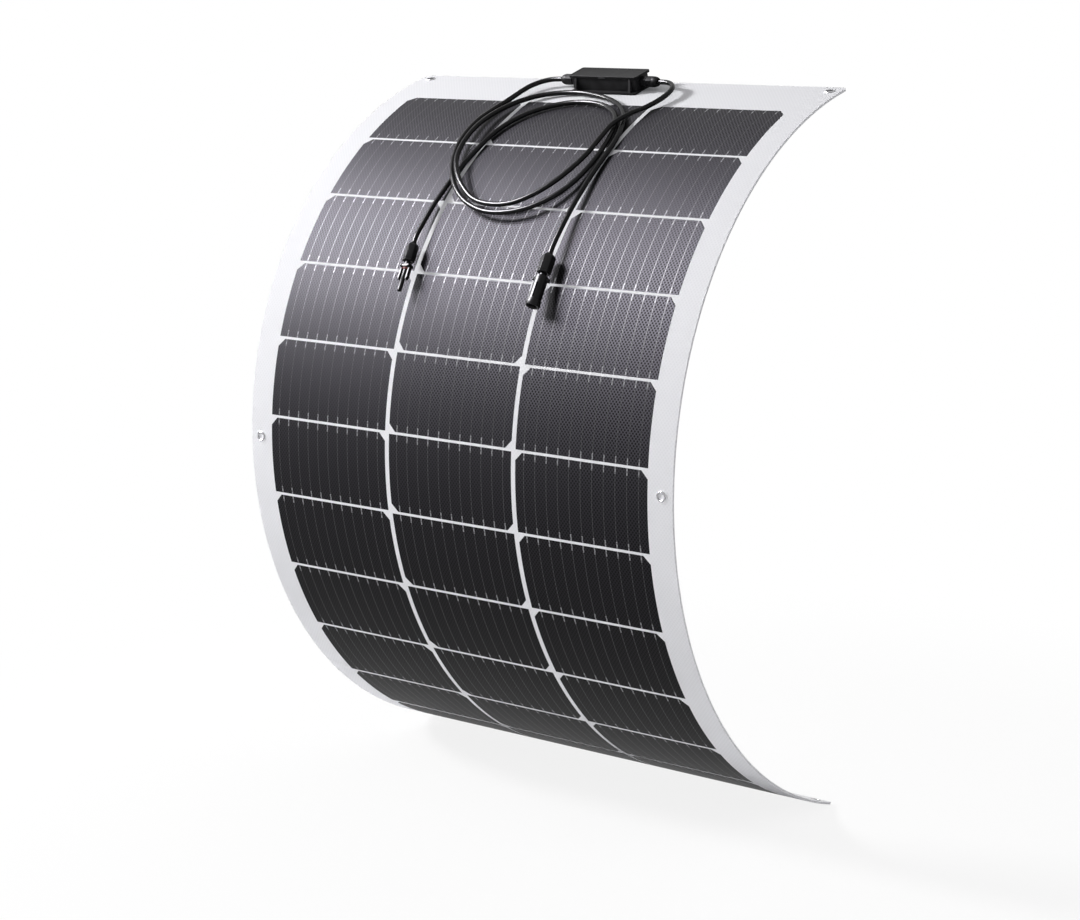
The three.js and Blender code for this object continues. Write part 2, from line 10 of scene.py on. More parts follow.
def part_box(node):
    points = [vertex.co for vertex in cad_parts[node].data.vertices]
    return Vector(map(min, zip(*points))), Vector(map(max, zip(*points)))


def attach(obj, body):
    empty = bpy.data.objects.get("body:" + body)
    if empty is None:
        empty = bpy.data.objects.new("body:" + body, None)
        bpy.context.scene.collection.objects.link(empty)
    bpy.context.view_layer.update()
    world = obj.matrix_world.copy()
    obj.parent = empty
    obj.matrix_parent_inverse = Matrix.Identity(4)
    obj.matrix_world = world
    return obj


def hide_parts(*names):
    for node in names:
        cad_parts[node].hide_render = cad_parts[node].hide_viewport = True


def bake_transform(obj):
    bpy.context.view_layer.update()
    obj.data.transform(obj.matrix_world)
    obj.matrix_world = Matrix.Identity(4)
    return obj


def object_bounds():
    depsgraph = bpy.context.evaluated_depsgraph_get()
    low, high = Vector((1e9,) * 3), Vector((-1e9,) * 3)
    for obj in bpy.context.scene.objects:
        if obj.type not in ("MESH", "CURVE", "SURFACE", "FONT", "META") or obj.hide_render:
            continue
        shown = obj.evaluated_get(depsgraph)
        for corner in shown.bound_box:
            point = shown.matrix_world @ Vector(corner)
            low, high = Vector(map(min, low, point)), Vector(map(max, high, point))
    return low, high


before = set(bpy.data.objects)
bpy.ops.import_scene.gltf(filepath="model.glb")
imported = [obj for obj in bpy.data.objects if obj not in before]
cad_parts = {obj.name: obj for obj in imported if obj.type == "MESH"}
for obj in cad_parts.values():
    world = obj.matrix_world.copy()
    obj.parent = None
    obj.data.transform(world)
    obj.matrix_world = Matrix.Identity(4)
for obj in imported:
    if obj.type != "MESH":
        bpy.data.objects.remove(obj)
scene = bpy.context.scene
cad_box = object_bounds()

# ------------------------------------------------------------------ camera
# A long lens held a little above the top of the sheet, 39 degrees to the right of the way that the cells
# face, and looking 10 degrees down at the sheet's lower middle.
aim = Vector((-0.09496, 0.11814, 0.37221))
camera_distance = 3.21107
azimuth = math.radians(38.946)
elevation = math.radians(10.415)
towards_camera = Vector((
    math.sin(azimuth) * math.cos(elevation),
    -math.cos(azimuth) * math.cos(elevation),
    math.sin(elevation),
))
lens = bpy.data.cameras.new("camera")
lens.sensor_width = 36
lens.lens = 86.59
camera = bpy.data.objects.new("camera", lens)
camera.location = aim + camera_distance * towards_camera
camera.rotation_euler = towards_camera.to_track_quat("Z", "Y").to_euler()
scene.collection.objects.link(camera)
scene.camera = camera


# ------------------------------------------------------------------ laminate
# A white glass-fibre backing under 33 half-cut silicon cells, sealed by a clear film that is embossed all
# over with fine dimples. It is pressed flat in one piece, and bends as a spring.
sheet_width = 0.624
sheet_length = 1.140
corner_radius = 0.007
film_height = 0.0013
laminate_back = -0.0013
bend_radius = 0.430
half_turn = sheet_length / bend_radius / 2
highest_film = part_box("front_film_top")[1]
lowest_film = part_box("front_film_11")[0]
furthest_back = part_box("backsheet_top")[1]
arc_y = furthest_back[1] + (bend_radius - film_height) * math.cos(half_turn)
arc_z = (highest_film[2] + lowest_film[2]) / 2


def on_sheet(across, down, height):
    """A point given across the sheet, down it from its top edge, and above the middle of the laminate."""
    angle = half_turn - down / bend_radius
    reach = bend_radius + height
    return Vector((across, arc_y - reach * math.cos(angle), arc_z + reach * math.sin(angle)))


def new_object(name, mesh):
    thing = bpy.data.objects.new(name, mesh)
    scene.collection.objects.link(thing)
    return thing


def add_node(tree, kind, inputs, **settings):
    """Adds a shader node. Each input is given a value, or the output of another node to feed it."""
    node = tree.nodes.new("ShaderNode" + kind)
    for setting, value in settings.items():
        setattr(node, setting, value)
    for socket, value in inputs.items():
        if isinstance(value, bpy.types.NodeSocket):
            tree.links.new(value, node.inputs[socket])
        else:
            node.inputs[socket].default_value = value
    return node


def new_group(name, inputs, outputs):
    """A node group with its sockets, and the two nodes that they are reached by inside it."""
    group = bpy.data.node_groups.new(name, "ShaderNodeTree")
    for direction, sockets in (("INPUT", inputs), ("OUTPUT", outputs)):
        for socket, kind in sockets.items():
            group.interface.new_socket(socket, in_out=direction, socket_type="NodeSocket" + kind)
    return group, group.nodes.new("NodeGroupInput").outputs, group.nodes.new("NodeGroupOutput").inputs


def new_material(name, plain_sockets):
    """A material whose shader has some of its sockets set to one value all over."""
    material = bpy.data.materials.new(name)
    material.use_nodes = True
    shader = material.node_tree.nodes["Principled BSDF"].inputs
    for socket, value in plain_sockets.items():
        shader[socket].default_value = value
    return material, material.node_tree, shader


def add_relief(tree, shader, height, strength):
    """Feeds the shader's normal with a relief a tenth of a millimetre deep."""
    bump = add_node(tree, "Bump", {"Height": height, "Strength": strength, "Distance": 0.0001})
    tree.links.new(bump.outputs["Normal"], shader["Normal"])


flat_map = "flat_sheet"
dimple_pitch = 0.00445
dimple_stretch = 1.17


def dimpled_film():
    """A node group for the embossed film, which is 0 in the dimples and 1 on the web between them.

    The dimples lie in straight rows, further apart down the sheet than across it, with one more in the
    middle of each four."""
    group, given, out = new_group("dimpled_film", {"Place": "Vector", "Pitch": "Float"}, {"Web": "Float"})
    tall = add_node(group, "Math", {0: given["Pitch"], 1: dimple_stretch}, operation="MULTIPLY")
    spacing = add_node(group, "CombineXYZ", {0: given["Pitch"], 1: tall.outputs[0], 2: given["Pitch"]})
    scaled = add_node(group, "VectorMath", {0: given["Place"], 1: spacing.outputs[0]}, operation="DIVIDE")
    distances = []
    for shift in (0.0, 0.5):
        moved = add_node(group, "VectorMath", {0: scaled.outputs[0], 1: (shift, shift, 0)}, operation="ADD")
        block = add_node(group, "VectorMath", {0: moved.outputs[0]}, operation="FRACTION")
        centred = add_node(group, "VectorMath", {0: block.outputs[0], 1: (0.5, 0.5, 0)},
                           operation="SUBTRACT")
        rounded = add_node(group, "VectorMath", {0: centred.outputs[0], 1: (1, dimple_stretch, 0)},
                           operation="MULTIPLY")
        distance = add_node(group, "VectorMath", {0: rounded.outputs[0]}, operation="LENGTH")
        distances.append(distance.outputs["Value"])
    nearest = add_node(group, "Math", {0: distances[0], 1: distances[1]}, operation="MINIMUM")
    web = add_node(group, "MapRange", {"Value": nearest.outputs[0], "From Min": 0.22, "From Max": 0.33},
                   interpolation_type="SMOOTHSTEP")
    group.links.new(web.outputs[0], out["Web"])
    return group


film_dimples = dimpled_film()


def under_film(name, web_colour, dimple_shade_colour, roughness, relief, gloss, metallic=0.0):
    """A layer seen through the embossed film, in one colour under its web and one in its dimples."""
    material, tree, shader = new_material(name, {
        "Roughness": roughness, "Specular IOR Level": gloss, "Metallic": metallic,
    })
    place = add_node(tree, "UVMap", {}, uv_map=flat_map)
    dimples = add_node(tree, "Group", {"Place": place.outputs["UV"], "Pitch": dimple_pitch},
                       node_tree=film_dimples)
    web = dimples.outputs["Web"]
    # The dimple colour is painted shade in the dimples: the layer under the clear film is one colour, and on
    # the cells the near-black dimples also paint out the reflection of the lamps.
    colour = add_node(tree, "Mix", {"Factor": web, "A": (*dimple_shade_colour, 1), "B": (*web_colour, 1)},
                      data_type="RGBA")
    tree.links.new(colour.outputs["Result"], shader["Base Color"])
    add_relief(tree, shader, web, relief)
    return material


def glass_weave(name, pitch):
    """The plain back of the sheet: white resin over a woven glass cloth, which shows as a fine relief."""
    material, tree, shader = new_material(name, {"Specular IOR Level": 0.1})
    place = add_node(tree, "UVMap", {}, uv_map=flat_map).outputs["UV"]
    phase = add_node(tree, "VectorMath", {0: place, "Scale": 2 * math.pi / pitch}, operation="SCALE")
    wave = add_node(tree, "VectorMath", {0: phase.outputs["Vector"]}, operation="SINE")
    split = add_node(tree, "SeparateXYZ", {0: wave.outputs["Vector"]})
    crossing = add_node(tree, "Math", {0: split.outputs["X"], 1: split.outputs["Y"]}, operation="MULTIPLY")
    height = add_node(tree, "MapRange", {"Value": crossing.outputs[0], "From Min": -1}).outputs[0]
    blotches = add_node(tree, "TexNoise", {"Vector": place, "Scale": 14, "Detail": 5})
    gloss = add_node(tree, "MapRange", {"Value": blotches.outputs["Fac"], "To Min": 0.38, "To Max": 0.66})
    colour = add_node(tree, "Mix", {
        "Factor": height, "A": (0.74, 0.745, 0.76, 1), "B": (0.83, 0.835, 0.85, 1),
    }, data_type="RGBA")
    tree.links.new(gloss.outputs[0], shader["Roughness"])
    tree.links.new(colour.outputs["Result"], shader["Base Color"])
    add_relief(tree, shader, height, 0.3)
    return material


border_layer, cell_layer, busbar_layer, tab_layer, back_layer = range(5)
# The second colour of each layer seen through the film is painted shade in the dimples; on the cells it is a
# painted loss of reflection.
sheet_materials = [
    under_film("white_backing", (0.83, 0.83, 0.86), (0.79, 0.79, 0.82), roughness=0.6, relief=0.2,
               gloss=0.01),
    under_film("silicon_cell", (0.0132, 0.0128, 0.0145), (0.0001, 0.0001, 0.0001), roughness=0.58,
               relief=0.25, gloss=0.5, metallic=1.0),
    under_film("busbar", (0.055, 0.055, 0.058), (0.02, 0.02, 0.021), roughness=0.4, relief=0.4, gloss=0.1),
    under_film("busbar_tab", (0.27, 0.27, 0.285), (0.12, 0.12, 0.125), roughness=0.4, relief=0.4, gloss=0.1),
    glass_weave("glass_back", 0.0032),
]

cell_columns = (-1, 0, 1)
cell_rows = 11
cell_width = 0.182
cell_height = 0.091
cell_corner = 0.009
column_gap = 0.006
row_gap = 0.003
column_pitch = cell_width + column_gap
row_pitch = cell_height + row_gap
top_margin = 0.075
bottom_margin = 0.034
busbars = 11
busbar_pitch = 0.0158
busbar_width = 0.0009
tab_width = 0.0016
tab_length = 0.008


def cell_near(across, down):
    """The offset of a place from the middle of its nearest cell, and that cell's column."""
    column = max(-1, min(1, round(across / column_pitch)))
    row = max(0, min(cell_rows - 1, math.floor((down - top_margin + row_gap / 2) / row_pitch)))
    middle = top_margin + row * row_pitch + cell_height / 2
    return across - column * column_pitch, down - middle, column


def cut_end(column):
    """The end of a half-cut cell that has its slanted corners: its lower one in the middle column."""
    return 1 if column == 0 else -1


def layer_at(across, down):
    """Which of the sheet's layers shows at a place from the front."""
    x, y, column = cell_near(across, down)
    if abs(x) > cell_width / 2 or abs(y) > cell_height / 2:
        return border_layer
    if cell_width / 2 - abs(x) + cell_height / 2 - cut_end(column) * y < cell_corner:
        return border_layer
    off_busbar = abs((x / busbar_pitch + busbars / 2) % 1 - 0.5) * busbar_pitch
    if abs(x) < busbar_pitch * busbars / 2:
        if off_busbar < tab_width / 2 and cell_height / 2 - abs(y) < tab_length:
            return tab_layer
        if off_busbar < busbar_width / 2:
            return busbar_layer
    return cell_layer


eyelet_inset = 0.015
eyelet_across = sheet_width / 2 - eyelet_inset
eyelet_hole = 0.0047
hole_block = [-0.008, -0.004, 0, 0.004, 0.008]
least_strip = 0.001

columns_of_cuts = []
for column in cell_columns:
    middle = column * column_pitch
    for side in (-1, 1):
        edge = middle + side * cell_width / 2
        columns_of_cuts += [edge, edge - side * cell_corner / 2, edge - side * cell_corner]
    for bar in range(busbars):
        centre = middle + (bar - (busbars - 1) / 2) * busbar_pitch
        columns_of_cuts += [centre - tab_width / 2, centre - busbar_width / 2]
        columns_of_cuts += [centre + busbar_width / 2, centre + tab_width / 2]
columns_of_cuts += [side * eyelet_across + offset for side in (-1, 1) for offset in hole_block]

top_strips = 14
cell_strips = 16
bottom_strips = 7
between_corners = cell_height - 2 * cell_corner
rows_of_cuts = [top_margin * i / top_strips for i in range(1, top_strips)]
for row in range(cell_rows):
    top = top_margin + row * row_pitch
    bottom = top + cell_height
    rows_of_cuts += [top, top + cell_corner / 2, top + tab_length, top + cell_corner]
    rows_of_cuts += [bottom, bottom - cell_corner / 2, bottom - tab_length, bottom - cell_corner]
    rows_of_cuts += [top + cell_corner + between_corners * i / cell_strips for i in range(1, cell_strips)]
rows_of_cuts += [sheet_length - bottom_margin * i / bottom_strips for i in range(1, bottom_strips)]


def cut_corner(bm, face):
    """Cuts a face of the flat sheet along the slanted corner of its cell, if it lies at one."""
    middle = face.calc_center_median()
    x, y, column = cell_near(middle.x, middle.y)
    end = cut_end(column)
    to_side = cell_width / 2 - abs(x)
    to_end = cell_height / 2 - end * y
    if 0 < to_side < cell_corner and 0 < to_end < cell_corner:
        tip = Vector((middle.x + math.copysign(to_side, x), middle.y + end * to_end, 0))
        slant = Vector((math.copysign(1, x), end, 0)).normalized()
        around = [face] + list(face.edges) + list(face.verts)
        bmesh.ops.bisect_plane(bm, geom=around, plane_co=tip - slant * cell_corner / math.sqrt(2),
                               plane_no=slant, dist=1e-6)


def punch_hole(bm, across, down):
    """Opens a round hole for an eyelet in the flat sheet."""
    reach = hole_block[-1]
    inside = [f for f in bm.faces if abs(f.calc_center_median().x - across) < reach
              and abs(f.calc_center_median().y - down) < reach]
    border = [e for f in inside for e in f.edges if sum(g in inside for g in e.link_faces) == 1]
    bmesh.ops.delete(bm, geom=inside, context="FACES")
    circle = bmesh.ops.create_circle(bm, segments=16, radius=eyelet_hole,
                                     matrix=Matrix.Translation((across, down, 0)))
    rim = list({e for v in circle["verts"] for e in v.link_edges})
    bmesh.ops.bridge_loops(bm, edges=border + rim)


def face_outwards(bm):
    """Turns the faces of a closed shape outwards, also where it is thin and bent."""
    bmesh.ops.recalc_face_normals(bm, faces=bm.faces)
    if bm.calc_volume(signed=True) < 0:
        bmesh.ops.reverse_faces(bm, faces=bm.faces)


def flat_blank(start, end, eyelets_down):
    """The sheet's outline from one place down it to another, cut along its layers and not yet thick."""
    bm = bmesh.new()
    bmesh.ops.create_grid(bm, x_segments=1, y_segments=1, size=0.5)
    bmesh.ops.scale(bm, vec=(sheet_width, end - start, 1), verts=bm.verts)
    bmesh.ops.translate(bm, vec=(0, (start + end) / 2, 0), verts=bm.verts)
    free_corners = [v for v in bm.verts if min(v.co.y, sheet_length - v.co.y) < 1e-6]
    if free_corners:
        bmesh.ops.bevel(bm, geom=free_corners, offset=corner_radius, segments=6, profile=0.5,
                        affect="VERTICES", material=-1)
    rows = [place for place in rows_of_cuts if start < place < end]
    if eyelets_down is not None:
        rows = [place for place in rows if abs(place - eyelets_down) > hole_block[-1] + least_strip]
        rows += [eyelets_down + offset for offset in hole_block]
    for normal, places in ((Vector((1, 0, 0)), columns_of_cuts), (Vector((0, 1, 0)), rows)):
        for place in places:
            everything = bm.verts[:] + bm.edges[:] + bm.faces[:]
            bmesh.ops.bisect_plane(bm, geom=everything, plane_co=normal * place, plane_no=normal, dist=1e-7)
    for face in bm.faces[:]:
        cut_corner(bm, face)
    for face in bm.faces:
        middle = face.calc_center_median()
        face.material_index = layer_at(middle.x, middle.y)
    if eyelets_down is not None:
        for side in (-1, 1):
            punch_hole(bm, side * eyelet_across, eyelets_down)
    return bm


def shaded_mesh(bm, name, sharper_than):
    """The finished mesh, smooth apart from the edges that are sharper than an angle in degrees."""
    for face in bm.faces:
        face.smooth = True
    for edge in bm.edges:
        edge.smooth = edge.is_manifold and edge.calc_face_angle(0) < math.radians(sharper_than)
    mesh = bpy.data.meshes.new(name)
    bm.to_mesh(mesh)
    bm.free()
    return mesh


def laminate_piece(name, start, end, eyelets_down=None):
    """A stretch of the laminate: cut out flat, made thick, unrolled into its map and bent to the arc."""
    bm = flat_blank(start, end, eyelets_down)
    bmesh.ops.solidify(bm, geom=bm.faces[:], thickness=film_height - laminate_back)
    heights = [v.co.z for v in bm.verts]
    half_way = (max(heights) + min(heights)) / 2
    flat = bm.loops.layers.uv.new(flat_map)
    for face in bm.faces:
        behind = [v.co.z < half_way for v in face.verts]
        if any(behind):
            face.material_index = back_layer if all(behind) else border_layer
        for loop in face.loops:
            loop[flat].uv = loop.vert.co.xy
    for vert in bm.verts:
        height = film_height if vert.co.z > half_way else laminate_back
        vert.co = on_sheet(vert.co.x, vert.co.y, height)
    face_outwards(bm)
    mesh = shaded_mesh(bm, name, 30)
    for material in sheet_materials:
        mesh.materials.append(material)
    piece = new_object(name, mesh)
    return piece


# Each stretch runs from the middle of one row to the middle of the next, over the seam where they bend.
top_end = top_margin + 1.5 * row_pitch - row_gap / 2
top_piece = laminate_piece("laminate_top", 0, top_end, eyelet_inset)
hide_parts("backsheet_top", "cells_01", "cells_02", "front_film_top")
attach(top_piece, "top_section")
for row in range(3, cell_rows + 1):
    start = top_end + (row - 3) * row_pitch
    end = start + row_pitch
    eyelets_down = sheet_length / 2 if row == 6 else None
    piece = laminate_piece(f"laminate_{row:02d}", start, end, eyelets_down)
    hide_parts(f"backsheet_{row:02d}", f"cells_{row:02d}", f"front_film_{row:02d}")
    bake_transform(piece)
bottom_piece = laminate_piece("laminate_bottom", end, sheet_length, sheet_length - eyelet_inset)
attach(bottom_piece, "row_11")


# ------------------------------------------------------------------ eyelets
# Six two-part eyelets of nickel-plated steel, pressed through the margins: the front half's rolled lip and
# the back half's ring clamp the laminate between them. The top two ride on the top section, the bottom two on
# row 11, and the middle two are fixed where they are made.
def outward(down):
    """The way that the cells face at a place down the sheet."""
    angle = half_turn - down / bend_radius
    return Vector((0, -math.cos(angle), math.sin(angle)))


def sheet_place(origin, down):
    """A frame at a place: X across the sheet, Y up it and Z out of it."""
    out = outward(down)
    up = Vector((0, out.z, -out.y))
    return Matrix((
        (1, 0, 0, origin.x), (0, up.y, out.y, origin.y), (0, up.z, out.z, origin.z), (0, 0, 0, 1),
    ))


def spun(bm, profile, sides, turn=0.0):
    """Turns an outline of (radius, height) once about Z. One that doesn't end on the axis is closed."""
    verts = [bm.verts.new((radius, 0, height)) for radius, height in profile]
    edges = [bm.edges.new(pair) for pair in zip(verts, verts[1:])]
    if profile[0][0] > 0:
        edges.append(bm.edges.new((verts[-1], verts[0])))
    bmesh.ops.spin(bm, geom=verts + edges, cent=(0, 0, 0), axis=(0, 0, 1), angle=2 * math.pi, steps=sides,
                   use_merge=True, use_normal_flip=False, use_duplicate=False)
    bmesh.ops.remove_doubles(bm, verts=bm.verts, dist=1e-7)
    if turn:
        bmesh.ops.rotate(bm, cent=(0, 0, 0), matrix=Matrix.Rotation(turn, 3, "Z"), verts=bm.verts)


def round_edges(bm, offset, segments=2, sharper_than=25):
    """Breaks every edge that is sharper than an angle, as a mould or a press does."""
    edges = [e for e in bm.edges if e.is_manifold and e.calc_face_angle(0) > math.radians(sharper_than)]
    bmesh.ops.bevel(bm, geom=edges, offset=offset, offset_type="OFFSET", segments=segments, profile=0.5,
                    affect="EDGES", material=-1, clamp_overlap=True)


def finished(bm, name, place, material, node):
    """Puts a shape in its place, as a piece that stands for its CAD node."""
    bmesh.ops.dissolve_degenerate(bm, dist=2e-6, edges=bm.edges)
    face_outwards(bm)
    bmesh.ops.transform(bm, matrix=place, verts=bm.verts)
    mesh = shaded_mesh(bm, name, 35)
    mesh.materials.append(material)
    piece = new_object(name, mesh)
    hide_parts(node)
    return piece


def worn_surface():
    """A node group for hard parts: a fine grain, a broad change of gloss and paler edges."""
    group, given, out = new_group(
        "worn_surface",
        {"Place": "Vector", "Colour": "Color", "Worn Colour": "Color", "Roughness": "Float",
         "Spread": "Float", "Grain": "Float"},
        {"Colour": "Color", "Roughness": "Float", "Height": "Float"},
    )
    grain = add_node(group, "TexNoise", {"Vector": given["Place"], "Scale": given["Grain"], "Detail": 3})
    broad = add_node(group, "TexNoise", {"Vector": given["Place"], "Scale": 90, "Detail": 6})
    offset = add_node(group, "Math", {0: broad.outputs["Fac"], 1: 0.5}, operation="SUBTRACT")
    gloss = add_node(group, "Math", {0: offset.outputs[0], 1: given["Spread"], 2: given["Roughness"]},
                     operation="MULTIPLY_ADD")
    shape = add_node(group, "NewGeometry", {})
    edge = add_node(group, "MapRange", {
        "Value": shape.outputs["Pointiness"], "From Min": 0.52, "From Max": 0.64,
    })
    patchy = add_node(group, "Math", {0: edge.outputs[0], 1: broad.outputs["Fac"]}, operation="MULTIPLY")
    colour = add_node(group, "Mix", {
        "Factor": patchy.outputs[0], "A": given["Colour"], "B": given["Worn Colour"],
    }, data_type="RGBA")
    group.links.new(colour.outputs["Result"], out["Colour"])
    group.links.new(gloss.outputs[0], out["Roughness"])
    group.links.new(grain.outputs["Fac"], out["Height"])
    return group


hard_surface = worn_surface()


def hard_material(name, colour, worn_colour, roughness, spread, grain, relief, metallic=0.0, gloss=0.5,
                  along=None):
    """A hard part's finish, placed by its object or, along a cable, by the cable's own map."""
    material, tree, shader = new_material(name, {"Metallic": metallic, "Specular IOR Level": gloss})
    if along:
        place = add_node(tree, "UVMap", {}, uv_map=along).outputs["UV"]
    else:
        place = add_node(tree, "TexCoord", {}).outputs["Object"]
    surface = add_node(tree, "Group", {
        "Place": place, "Colour": (*colour, 1), "Worn Colour": (*worn_colour, 1), "Roughness": roughness,
        "Spread": spread, "Grain": grain,
    }, node_tree=hard_surface).outputs
    tree.links.new(surface["Colour"], shader["Base Color"])
    tree.links.new(surface["Roughness"], shader["Roughness"])
    add_relief(tree, shader, surface["Height"], relief)
    return material


steel = hard_material("plated_steel", (0.36, 0.36, 0.37), (0.55, 0.55, 0.56), roughness=0.16, spread=0.12,
                      grain=2500, relief=0.08, metallic=1.0)
eyelet_sides = 40
front, back = film_height, laminate_back
eyelet_outline = [
    (0.0040, front + 0.0003), (0.00412, front + 0.0008), (0.0046, front + 0.00112), (0.0052, front + 0.00108),
    (0.0057, front + 0.0008), (0.0060, front + 0.0003), (0.0059, front + 0.00003), (0.0047, front + 0.00002),
    (0.0047, back - 0.00002), (0.0059, back - 0.00003), (0.0060, back - 0.0003), (0.0057, back - 0.0006),
    (0.0048, back - 0.0008), (0.0042, back - 0.0007), (0.0040, back - 0.0003),
]
for place_name, down in (
    ("top", eyelet_inset), ("mid", sheet_length / 2), ("bottom", sheet_length - eyelet_inset),
):
    for side_name, side in (("left", -1), ("right", 1)):
        bm = bmesh.new()
        spun(bm, eyelet_outline, eyelet_sides)
        seat = sheet_place(on_sheet(side * eyelet_across, down, 0), down)
        node = f"eyelet_{place_name}_{side_name}"
        piece = finished(bm, node + "_ring", seat, steel, node)
        if place_name == "mid":
            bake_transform(piece)
        else:
            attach(piece, "top_section" if place_name == "top" else "row_11")


# ------------------------------------------------------------------ junction box
# A box of black glass-filled plastic, glued to the top margin by the flange at its foot, with four wedge
# ribs, and a lid that is pushed on over a rubber gasket.
box_length = 0.094
box_depth = 0.027
box_height = 0.017
box_wall = 0.002
box_floor = 0.0025
box_bond = 0.0003
fit_gap = 0.0003
box_down = 0.028
box_facet = 0.021


def box_point(across, up, out):
    """A point beside the junction box: across the sheet, up it from the box's middle, out from the film."""
    seat = outward(box_down) * ((bend_radius + film_height) * math.cos(box_facet / bend_radius))
    along = Vector((0, outward(box_down).z, -outward(box_down).y))
    return Vector((across, arc_y, arc_z)) + seat + along * up + outward(box_down) * out


box_seat = sheet_place(box_point(0, 0, 0), box_down)
plastic = hard_material("box_plastic", (0.006, 0.006, 0.0065), (0.03, 0.03, 0.032), roughness=0.46,
                        spread=0.16, grain=2600, relief=0.22, gloss=0.06)


def pushed(bm, face, shift):
    """Draws a face out into a block, and returns its far face. The first face stays."""
    drawn = bmesh.ops.extrude_face_region(bm, geom=[face], use_keep_orig=True)["geom"]
    bmesh.ops.translate(bm, vec=shift, verts=[g for g in drawn if isinstance(g, bmesh.types.BMVert)])
    return next(g for g in drawn if isinstance(g, bmesh.types.BMFace))


def rounded_plate(bm, length, depth, corner, low, high):
    """A flat plate with rounded corners. Its top face is returned."""
    made = bmesh.ops.create_grid(bm, x_segments=1, y_segments=1, size=0.5)["verts"]
    bmesh.ops.scale(bm, vec=(length, depth, 1), verts=made)
    bmesh.ops.translate(bm, vec=(0, 0, low), verts=made)
    cut = bmesh.ops.bevel(bm, geom=made, offset=corner, segments=5, profile=0.5, affect="VERTICES",
                          material=-1)
    face = next(f for v in cut["verts"] for f in v.link_faces if len(f.verts) > 8)
    return pushed(bm, face, (0, 0, high - low))


def cuboid(bm, size, centre):
    """A square block in a shape that is being made. Its corners are returned."""
    made = bmesh.ops.create_cube(bm, size=1)["verts"]
    bmesh.ops.scale(bm, vec=size, verts=made)
    bmesh.ops.translate(bm, vec=centre, verts=made)
    return made


flange_length = box_length + 0.004
flange_depth = box_depth + 0.013
flange_top = 0.0022
rib_size = (0.003, 0.0075, 0.0155)
rib_middle = (0.040, 0.01625, 0.00925)
rib_lean = 0.015
bm = bmesh.new()
rounded_plate(bm, flange_length, flange_depth, 0.003, 0, flange_top)
top = rounded_plate(bm, box_length, box_depth, 0.0015, flange_top - 0.0004, box_height)
bmesh.ops.inset_region(bm, faces=[top], thickness=box_wall, depth=0)
pushed(bm, top, (0, 0, box_floor - box_height))
bmesh.ops.delete(bm, geom=[top], context="FACES_ONLY")
for x in (-rib_middle[0], rib_middle[0]):
    for side in (-1, 1):
        for corner in cuboid(bm, rib_size, (x, side * rib_middle[1], rib_middle[2])):
            if corner.co.z > rib_middle[2] and abs(corner.co.y) > rib_lean:
                corner.co.y = side * rib_lean
bmesh.ops.translate(bm, vec=(0, 0, box_bond), verts=bm.verts)
round_edges(bm, 0.00035)
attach(finished(bm, "box_base_shell", box_seat, plastic, "box_base"), "top_section")

lid_length = 0.100
lid_depth = 0.030
lid_thickness = 0.003
lid_low = box_height + fit_gap + box_bond
plug_inset = 0.0039
bm = bmesh.new()
top = rounded_plate(bm, lid_length, lid_depth, 0.0028, lid_low, lid_low + lid_thickness)
bmesh.ops.inset_region(bm, faces=[top], thickness=0.0016, depth=0)
bmesh.ops.inset_region(bm, faces=[top], thickness=0.0005, depth=-0.00035)
cuboid(bm, (box_length - 2 * plug_inset, box_depth - 2 * plug_inset, 0.0034), (0, 0, lid_low - fit_gap))
for side in (-1, 1):
    cuboid(bm, (0.010, 0.0008, 0.0014), (0, side * 0.0151, lid_low + 0.0007))
round_edges(bm, 0.0004, 3)
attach(finished(bm, "box_lid_plate", box_seat, plastic, "box_lid"), "box_cover")

rubber = hard_material("gasket_rubber", (0.02, 0.02, 0.021), (0.03, 0.03, 0.03), roughness=0.68,
                       spread=0.1, grain=1500, relief=0.3)
gasket_margin = 0.0046
gasket_width = 0.0012
gasket_half = 0.0006
gasket_middle = box_height - 0.0002 - gasket_half + box_bond
bm = bmesh.new()
top = rounded_plate(bm, box_length - gasket_margin, box_depth - gasket_margin, 0.0014,
                    gasket_middle - gasket_half, gasket_middle + gasket_half)
bottom = min(bm.faces, key=lambda f: f.calc_center_median().z)
loops = []
for face in (top, bottom):
    bmesh.ops.inset_region(bm, faces=[face], thickness=gasket_width, depth=0)
    loops += list(face.edges)
bmesh.ops.delete(bm, geom=[top, bottom], context="FACES_ONLY")
bmesh.ops.bridge_loops(bm, edges=loops)
round_edges(bm, 0.0003)
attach(finished(bm, "lid_gasket_ring", box_seat, rubber, "lid_gasket"), "box_cover")


def join(bm, other):
    """Adds another shape to a shape, and uses it up."""
    mesh = bpy.data.meshes.new("part")
    other.to_mesh(mesh)
    other.free()
    bm.from_mesh(mesh)
    bpy.data.meshes.remove(mesh)


brass = hard_material("tinned_brass", (0.72, 0.56, 0.28), (0.8, 0.66, 0.4), roughness=0.28, spread=0.14,
                      grain=1800, relief=0.12, metallic=1.0)
floor_top = box_bond + box_floor + fit_gap
terminal_across = 0.015
screw_outline = [(0, 0.0042), (0.0013, 0.0042), (0.0013, 0.0056), (0.0011, 0.0059), (0, 0.0059)]
for node, side in (("terminal_negative", -1), ("terminal_positive", 1)):
    seat = Vector((side * terminal_across, 0, floor_top))
    bm = bmesh.new()
    for y in (-0.0025, 0.0025):
        cuboid(bm, (0.009, 0.002, 0.006), (0, y, 0.003))
    cuboid(bm, (0.009, 0.0032, 0.005), (0, 0, 0.0025))
    bmesh.ops.translate(bm, vec=seat, verts=bm.verts)
    round_edges(bm, 0.0002)
    screw = bmesh.new()
    spun(screw, screw_outline, 16)
    bmesh.ops.translate(screw, vec=seat, verts=screw.verts)
    join(bm, screw)
    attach(finished(bm, node + "_post", box_seat, brass, node), "top_section")

